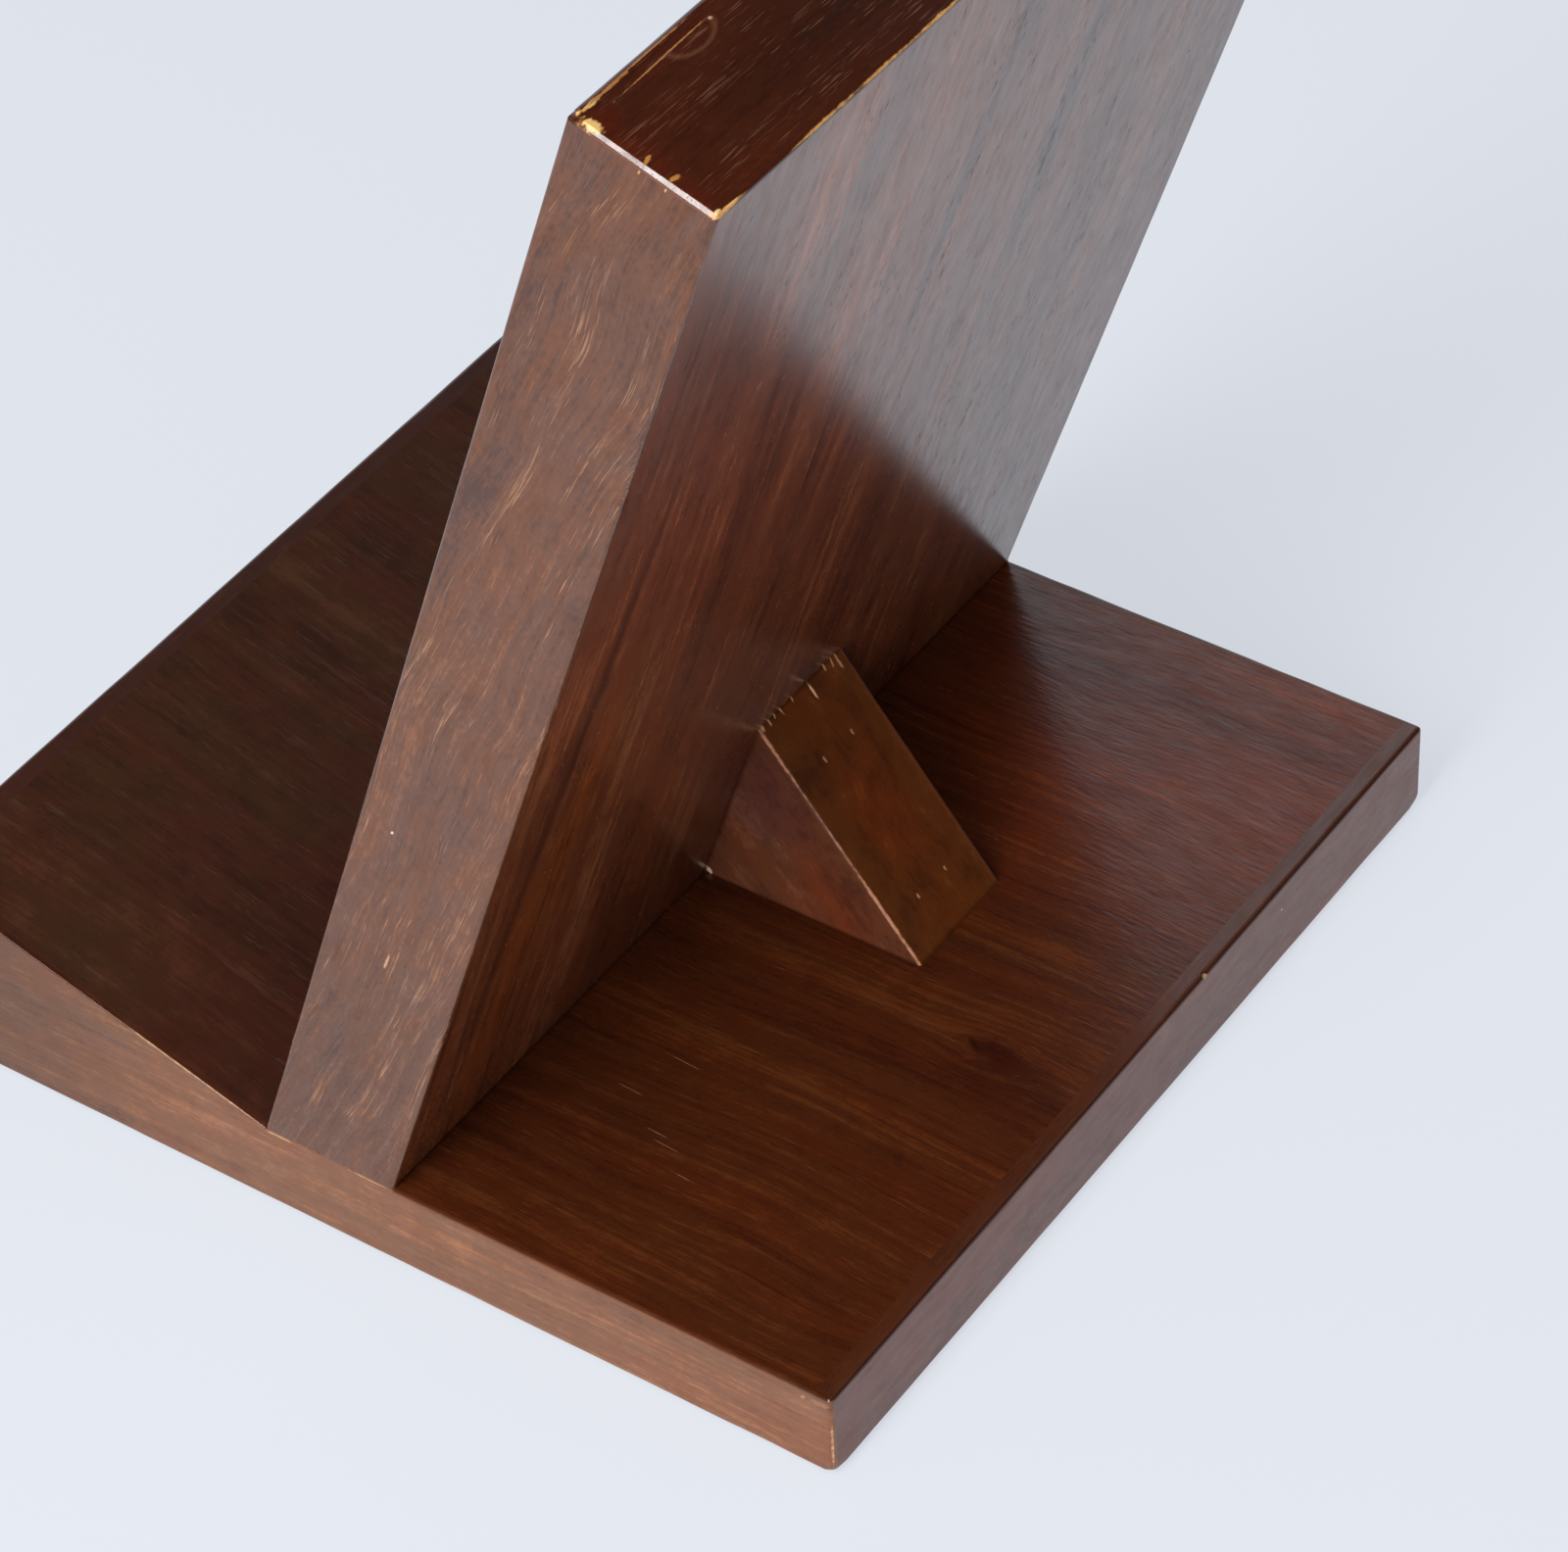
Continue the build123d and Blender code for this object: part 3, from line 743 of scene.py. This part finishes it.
def add_mesh(name, build, finish):
    """Makes the object of a piece from a mesh in millimetres, in the place of the frame's node."""
    mesh = bpy.data.meshes.new(name)
    bmesh.ops.recalc_face_normals(build, faces=build.faces)
    for face in build.faces:
        face.smooth = True
    for edge in build.edges:
        edge.smooth = edge.calc_face_angle(0) < crease_angle
    bmesh.ops.scale(build, vec=(MM, MM, MM), verts=build.verts)
    build.to_mesh(mesh)
    build.free()
    mesh.materials.append(materials[finish])
    piece = new_object(name, mesh)
    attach(piece, "root")
    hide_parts(name)


def eased(gaps, radii, amounts, bevel, deepest):
    """
    Easing of a point of a face near two edges: its distances from them after it, its depth, and whether the
    second edge's rounding has moved it. a and b are the shares of their rounding that are left there.
    """
    a, b = (
        max(0, 1 - gap / radius) if amount > least_easing else 0
        for gap, radius, amount in zip(gaps, radii, amounts)
    )
    spread = max(a, b) / math.hypot(a, b) if a and b else 1
    a, b = a * spread, b * spread
    drop = min(radii[0] if a > b else radii[1], deepest)
    flat = bevel if a > b else 0
    w = drop * (flat * max(a, b) + (1 - flat) * (1 - math.sqrt(max(0, 1 - a * a - b * b))))
    return radii[0] * (1 - a) if a else gaps[0], radii[1] * (1 - b) if b else gaps[1], w, b > 0


def plate(low_line, high_line, length, thickness, amounts, steps, worn, fine=((), ()), easing=None,
          dents=(), bevel=0.0):
    """
    A board as a closed mesh. low_line(s, w) and high_line(s, w) give the ends of the line at a distance s
    along the board and a depth w below its outer face. t runs along that line. amounts are how much each
    edge of the face is eased, in the order s start, s end, t start, t end. steps and fine set the mesh's
    spacing along s and t. worn(point) is how far an edge is rubbed. easing(s) scales the easing of the t end
    edge. dents are (centre, push, reach). bevel is how flat the arrises of the s start and s end are, from 0
    for round ones to 1 for chamfers.
    """
    build = bmesh.new()
    gap_layer = build.verts.layers.float.new("edge_gap")
    wear_layer = build.verts.layers.float.new("edge_wear")
    middle = length / 2
    height = (high_line(middle, 0) - low_line(middle, 0)).length
    reaches = [arris * amount for amount in amounts]
    s_places = stations(length, *reaches[:2], steps[0], fine[0])
    t_places = stations(height, *reaches[2:], steps[1], fine[1])
    deepest = drop_share * thickness

    def point(s, share, offset, w):
        low, high = low_line(s, w), high_line(s, w)
        line = high - low
        place = low + line * share + line.normalized() * offset
        for centre, push, reach in dents:
            away = (place - centre).length / reach
            if away < 1:
                place = place + push * (1 - away * away) ** 2
        return place

    def mark(vertex, gap, wear):
        vertex[gap_layer] = min(gap, gap_limit)
        vertex[wear_layer] = wear
        return vertex

    rows = []
    for s_share, s_offset in s_places:
        s = s_share * length + s_offset
        s_end = s > middle
        s_gap = length - s if s_end else s
        s_amount = amounts[1 if s_end else 0]
        row = []
        for t_share, t_offset in t_places:
            low, high = low_line(s, 0), high_line(s, 0)
            rise = (high - low).length
            t = t_share * rise + t_offset
            here = low + (high - low).normalized() * t
            t_end = t > rise / 2
            t_gap = rise - t if t_end else t
            t_amount = amounts[3 if t_end else 2] * (easing(s) if easing and t_end else 1)
            radii = eased_radius(here, s_amount), eased_radius(here, t_amount)
            s_left, t_left, w, t_moved = eased((s_gap, t_gap), radii, (s_amount, t_amount), bevel, deepest)
            s_moved = length - s_left if s_end else s_left
            t_pair = ((1, -t_left) if t_end else (0, t_left)) if t_moved else (t_share, t_offset)
            left = [s_left] * (s_amount > least_easing) + [t_left] * (t_amount > least_easing)
            gap = min([gap_limit] + [math.hypot(distance, w) for distance in left])
            vertex = mark(build.verts.new(point(s_moved, *t_pair, w)), gap, worn(here))
            row.append((vertex, s_moved, t_pair, w))
        rows.append(row)
    for first, second in zip(rows, rows[1:]):
        for (a, *_), (b, *_), (c, *_), (d, *_) in zip(first, first[1:], second[1:], second):
            build.faces.new((a, b, c, d))

    # The rim runs round the face and down to the glued side
    rim = rows[0][:-1] + [row[-1] for row in rows[:-1]] + rows[-1][:0:-1] + [row[0] for row in rows[:0:-1]]
    ring = [vertex for vertex, *_ in rim]
    depths = [
        [w + extra for *_, w in rim] for extra in rim_depths
        if extra == rim_depths[0] or deepest + extra < thickness
    ]
    depths = [depth for depth in depths if max(depth) < thickness] + [[thickness] * len(rim)]
    for depth in depths:
        lower = []
        for (vertex, s, t_pair, _), w in zip(rim, depth):
            gap = w if vertex[gap_layer] < gap_limit else gap_limit
            lower.append(mark(build.verts.new(point(s, *t_pair, w)), gap, vertex[wear_layer]))
        for index, vertex in enumerate(ring):
            build.faces.new((vertex, ring[index - 1], lower[index - 1], lower[index]))
        ring = lower
    build.faces.new(ring)
    return build


def lathe(build, centre, profile, count, shape=None):
    """
    Turns a profile of (radius, height) pairs round an upright line, closed at both ends. shape gives a
    point's own radius and height from those of the profile and its angle.
    """
    rings = []
    for radius, height in profile:
        ring = []
        for index in range(count):
            angle = math.tau * index / count
            reach, rise = shape(radius, height, angle) if shape else (radius, height)
            around = Vector((math.cos(angle), math.sin(angle), 0))
            ring.append(build.verts.new(centre + around * reach + upright * rise))
        rings.append(ring)
    for lower, upper in zip(rings, rings[1:]):
        for index in range(count):
            build.faces.new((lower[index - 1], lower[index], upper[index], upper[index - 1]))
    build.faces.new(rings[0])
    build.faces.new(rings[-1])


def within(value, low, high, soft):
    """1 between two places, falling to 0 over a soft length beyond them."""
    return max(0, min(1, (value - low) / soft + 1, (high - value) / soft + 1))


rubbed_corners = [
    (Vector((side * half_width, rear_edge, underside)), Vector((-side * 0.3, -0.35, 0.4)), 2.2)
    for side in (-1, 1)
]


def base_side_band(name, side):
    """Band along one side of the base: it follows the flat base and the ramp."""
    def low_line(s, w):
        return Vector((side * (half_width - w), front_edge + s, underside))

    def high_line(s, w):
        y = front_edge + s
        return Vector((side * (half_width - w), y, top_height(y)))

    def easing(s):
        y = front_edge + s
        if y > foot_rear:
            return 1
        return 0 if y > foot_front else 0.35

    def worn(point):
        rear_corner = 0.5 * within(point.y, rear_edge - 2, rear_edge, 3) * within(point.z, 4, 12, 4)
        ramp_edge = 0.26 * within(point.y, -46, -24, 5) * within(point.z, base_top, 90, 1)
        return max(0.06, rear_corner, ramp_edge)

    joints = [(foot_front - front_edge, 0.4, 4), (foot_rear - front_edge, 0.4, 4)]
    build = plate(low_line, high_line, rear_edge - front_edge, edge_band, (1, 1, 1, 1), (2.5, 4), worn,
                  (joints, [(0, 4, 8)]), easing, rubbed_corners)
    add_mesh(name, build, "base_side")


def panel_side_band(name, side):
    """Band up one side of the panel, cut level at the foot."""
    def low_line(s, w):
        return on_panel(side * (half_width - w), -s * math.tan(lean), s)

    def high_line(s, w):
        return on_panel(side * (half_width - w), panel_side_top, s)

    build = plate(low_line, high_line, panel_thickness, edge_band, (0.7, 0.8, 0, 0), (3, 2.5), evenly(0.12))
    add_mesh(name, build, "panel_side")


def panel_top_band(name):
    """Band over the panel's top, eased all round and most along its front."""
    def low_line(s, w):
        return on_panel(s - half_width, panel_length - w, 0)

    def high_line(s, w):
        return on_panel(s - half_width, panel_length - w, panel_thickness)

    def worn(point):
        back_edge = within((panel_foot - point).dot(panel_back), 0, 1.5, 2)
        near_corner = 0.6 * within(point.x, half_width - 4, half_width, 6)
        far_run = 0.5 * within(point.x, 38, 72, 12)
        return max(0.1, back_edge * max(0.22, near_corner, far_run))

    dents = []
    for side in (-1, 1):
        corner_push = Vector((-side * 0.7, 0, 0)) + panel_back * 0.5 - panel_up * 0.4
        dents.append((on_top(side * half_width, panel_thickness), corner_push, 2.2))
    fine = ((), [(panel_thickness - 2.5, 3, 10)])
    build = plate(low_line, high_line, 2 * half_width, edge_band, (1.0, 0.85, 0.7, 1.0), (2.5, 2), worn,
                  fine, dents=dents, bevel=0.75)
    add_mesh(name, build, "panel_top")


def end_lipping(name, outer, inner, finish, chips=()):
    """Lipping across the front or rear edge of the base."""
    into = math.copysign(1, inner - outer)

    def low_line(s, w):
        return Vector((s - inner_width, outer + into * w, underside))

    def high_line(s, w):
        y = outer + into * w
        return Vector((s - inner_width, y, top_height(y)))

    dents = [(Vector((x, outer, base_top)), Vector((0, into * 0.25, -0.2)), 1.0) for x in chips]
    fine = ([(x + inner_width, 4, 14) for x in chips], ())
    build = plate(low_line, high_line, 2 * inner_width, abs(inner - outer), (0, 0, 1, 1), (2.5, 4),
                  evenly(0.05), fine, dents=[*dents, *rubbed_corners])
    add_mesh(name, build, finish)


def support_block(name):
    """Triangular block behind the panel: its slanted face has worn arrises and filled brad holes."""
    along_base = 1 / block_outward.y
    along_panel = 1 / block_outward.dot(panel_up)
    depth = apex_share * (block_toe - panel_foot).dot(block_outward)

    def low_line(s, w):
        return block_toe + across * (block_low.x + s) - level * (w * along_base)

    def high_line(s, w):
        return block_apex + across * (block_low.x + s) - panel_up * (w * along_panel)

    def worn(point):
        near_side = within(point.x, block_high.x - 2, block_high.x, 1)
        toe = within(point.z, base_top, base_top + 4, 12)
        ends = max(toe, within(point.z, block_high.z - 3, block_high.z, 8))
        return max(0.08, near_side * (0.45 + 0.15 * ends))

    pits = tuple((on_slant(x, down), -block_outward * 0.16, 0.75) for x, down in brad_places)
    face_length = (block_toe - block_apex).length
    fine = (
        [(x - block_low.x, 1.8, 10) for x in brad_columns],
        [(face_length - down, 1.8, 10) for down in brad_rows],
    )
    build = plate(low_line, high_line, block_high.x - block_low.x, depth, (0.4, 0.8, 0, 0), (1.2, 1.5), worn,
                  fine, dents=pits)
    add_mesh(name, build, "block")


def brads(name):
    """Round brads driven square to the block's slanted face and sunk under the filler."""
    turn = upright.rotation_difference(block_outward).to_matrix()
    build = bmesh.new()
    for x, down in brad_places:
        built_before = len(build.verts)
        lathe(build, Vector((0, 0, 0)), brad_profile, brad_sides)
        build.verts.ensure_lookup_table()
        fresh = build.verts[built_before:]
        bmesh.ops.rotate(build, cent=(0, 0, 0), matrix=turn, verts=fresh)
        bmesh.ops.translate(build, vec=on_slant(x, down), verts=fresh)
    add_mesh(name, build, "steel")


def screws(name):
    """Countersunk wood screws with a cross recess and a rolled thread."""
    def shape(radius, height, angle):
        if height == 0:
            off_slot = radius * min(abs(math.cos(angle)), abs(math.sin(angle)))
            in_slot = off_slot < recess_width and radius < recess_reach
            return radius, (recess_depth * (1 - 0.5 * radius / recess_reach) if in_slot else 0)
        if thread_start < height < thread_end:
            turn = (height / thread_pitch - angle / math.tau) % 1
            return radius - thread_depth * min(1, abs(turn - 0.5) * thread_steepness), height
        return radius, height

    thread_length = thread_end - thread_start
    steps = round(thread_length / thread_pitch * thread_rings)
    profile = [(share * screw_head_radius, 0) for share in recess_shares]
    profile += [(screw_head_radius, screw_rim), (screw_radius, screw_neck)]
    profile += [(screw_radius, thread_start + thread_length * index / steps) for index in range(steps + 1)]
    for share in screw_tip_shares:
        radius = screw_tip_radius + (screw_radius - screw_tip_radius) * (1 - share)
        profile.append((radius, thread_end + screw_tip_length * share))
    build = bmesh.new()
    for x in screw_places:
        lathe(build, Vector((x, screw_y, screw_head_level)), profile, screw_sides, shape)
    add_mesh(name, build, "steel")


def pads(name):
    """Felt discs with soft rims, a little uneven underneath."""
    profile = [(pad_radius * share, pad_crown * (1 - share)) for share in pad_crown_shares]
    profile += [(pad_radius - inset, height) for inset, height in pad_rim]
    build = bmesh.new()
    for x in (pad_low.x + pad_radius, pad_high.x - pad_radius):
        for y in (pad_low.y + pad_radius, pad_high.y - pad_radius):
            def ragged(radius, height, angle):
                place = Vector((x + radius * math.cos(angle), y + radius * math.sin(angle), height * 3))
                return radius * (1 + pad_raggedness * (noise.noise(place * 1.3) - 1)), height

            lathe(build, Vector((x, y, 0)), profile, pad_sides, ragged)
    add_mesh(name, build, "felt")


# Finishes of the nodes that keep the frame's own mesh
for node, finish in (
    ("base_top_veneer", "base_face"), ("base_underside_veneer", "underside"), ("ramp_veneer", "ramp_face"),
    ("panel_back_veneer", "panel_face"), ("panel_front_veneer", "panel_front"), ("base_core", "core"),
    ("ramp_wedge", "core"), ("panel_core", "core"), ("panel_dowels", "beech"),
):
    own_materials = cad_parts[node].data.materials
    own_materials.clear()
    own_materials.append(materials[finish])

base_side_band("base_left_edge_band", -1)
base_side_band("base_right_edge_band", 1)
panel_side_band("panel_left_edge_band", -1)
panel_side_band("panel_right_edge_band", 1)
panel_top_band("panel_top_edge_band")
end_lipping("base_rear_lipping", rear_edge, lipped_rear, "base_end", (rear_chip,))
end_lipping("base_front_lipping", front_edge, lipped_front, "base_front")
support_block("support_block")
brads("block_brads")
screws("panel_screws")
pads("foot_pads")


# Light of the studio. Levels are multiples of the backdrop's colour, and lamps are in watts and metres.
backdrop_tone = tone(222, 226, 234)
floor_size = 12
floor_glow = 0.8
backdrop_way = (-0.80, -0.60, 0)
backdrop_edges = (0.50, 0.66)
backdrop_top = 0.735
backdrop_top_softness = 0.04
backdrop_level = 1.4
ceiling_level = 0.07
room_level = 0.5
lamp_distance = 1.6
key_bearing = (95, 36)
key_size = (0.38, 2.0)
key_power = 40
fill_bearing = (132, 12)
fill_size = (0.7, 0.5)
fill_power = 10


def aim(holder, azimuth, elevation, distance, target=Vector((0, 0, 0)), roll=0.0):
    """Places a lamp or camera on a bearing from its target, in degrees, and points it there."""
    a, e, r = (math.radians(angle) for angle in (azimuth, elevation, roll))
    back = Vector((math.sin(a) * math.cos(e), -math.cos(a) * math.cos(e), math.sin(e)))
    holder.location = target + back * distance
    holder.rotation_mode = "QUATERNION"
    holder.rotation_quaternion = (-back).to_track_quat("-Z", "Y") @ Quaternion((0, 0, 1), -r)


def softbox(name, bearing, size, power):
    """A rectangular lamp that the camera doesn't see."""
    lamp = bpy.data.lights.new(name, "AREA")
    lamp.shape = "RECTANGLE"
    lamp.size, lamp.size_y = size
    lamp.energy = power
    holder = new_object(name, lamp)
    holder.visible_camera = False
    aim(holder, *bearing, lamp_distance)


def paper_floor():
    """A pale floor, darker for the light it throws up than it looks to the camera."""
    mesh = bpy.data.meshes.new("floor")
    build = bmesh.new()
    corners = [(-1, -1), (1, -1), (1, 1), (-1, 1)]
    build.faces.new([build.verts.new((x * floor_size / 2, y * floor_size / 2, 0)) for x, y in corners])
    build.to_mesh(mesh)
    build.free()
    graph = new_material("floor", "floor_paper")
    path = graph.tree.nodes.new("ShaderNodeLightPath")
    seen = graph.math("MAXIMUM", path.outputs["Is Camera Ray"], path.outputs["Is Glossy Ray"])
    seen = graph.math("MAXIMUM", seen, path.outputs["Is Transmission Ray"])
    paper = graph.blend(seen, tone(225, 227, 230), tone(110, 112, 115))
    diffuse = graph.add("BsdfDiffuse", {"Color": paper})
    glow_strength = graph.times(seen, floor_glow)
    glow = graph.add("Emission", {"Color": backdrop_tone, "Strength": glow_strength})
    graph.surface(graph.add("AddShader", {0: diffuse, 1: glow}))
    mesh.materials.append(materials["floor"])
    floor = new_object("floor", mesh)


def backdrop_world():
    """Pale to the camera. The lacquer mirrors a bright backdrop behind the object and a dark ceiling."""
    world = bpy.data.worlds.new("studio")
    bpy.context.scene.world = world
    world.use_nodes = True
    graph = Graph(world.node_tree)
    way = graph.add("TexCoord", {}, "Generated")
    height = graph.dot(way, (0, 0, 1))
    below_top = graph.step(height, backdrop_top, backdrop_top - backdrop_top_softness)
    behind = graph.step(graph.dot(way, backdrop_way), *backdrop_edges)
    backdrop = graph.times(below_top, behind)
    path = graph.tree.nodes.new("ShaderNodeLightPath")
    level_seen = graph.line(backdrop, backdrop_level, ceiling_level)
    shown = path.outputs["Is Camera Ray"]
    glossy = path.outputs["Is Glossy Ray"]
    strength = graph.line(glossy, level_seen, shown)
    other = graph.minus(1, graph.math("MAXIMUM", glossy, shown))
    strength = graph.line(other, room_level, strength)
    background = graph.add("Background", {"Color": backdrop_tone, "Strength": strength})
    graph.add("OutputWorld", {"Surface": background})


def photo_camera():
    """The camera of the photograph: its lens and place were solved from the object's straight edges."""
    focal_pixels, image_width, sensor = 5952.9, 1600, 36
    azimuth, elevation, roll = 126.428, 42.389, 3.168
    distance = 1.06938
    target = Vector((-39.586, -6.742, 1)) * MM
    camera = bpy.data.cameras.new("photo_camera")
    camera.sensor_width = sensor
    camera.lens = focal_pixels * sensor / image_width
    holder = new_object("photo_camera", camera)
    aim(holder, azimuth, elevation, distance, target, roll)
    bpy.context.scene.camera = holder


paper_floor()
backdrop_world()
softbox("key", key_bearing, key_size, key_power)
softbox("fill", fill_bearing, fill_size, fill_power)
photo_camera()
bpy.context.scene.view_settings.view_transform = "Standard"
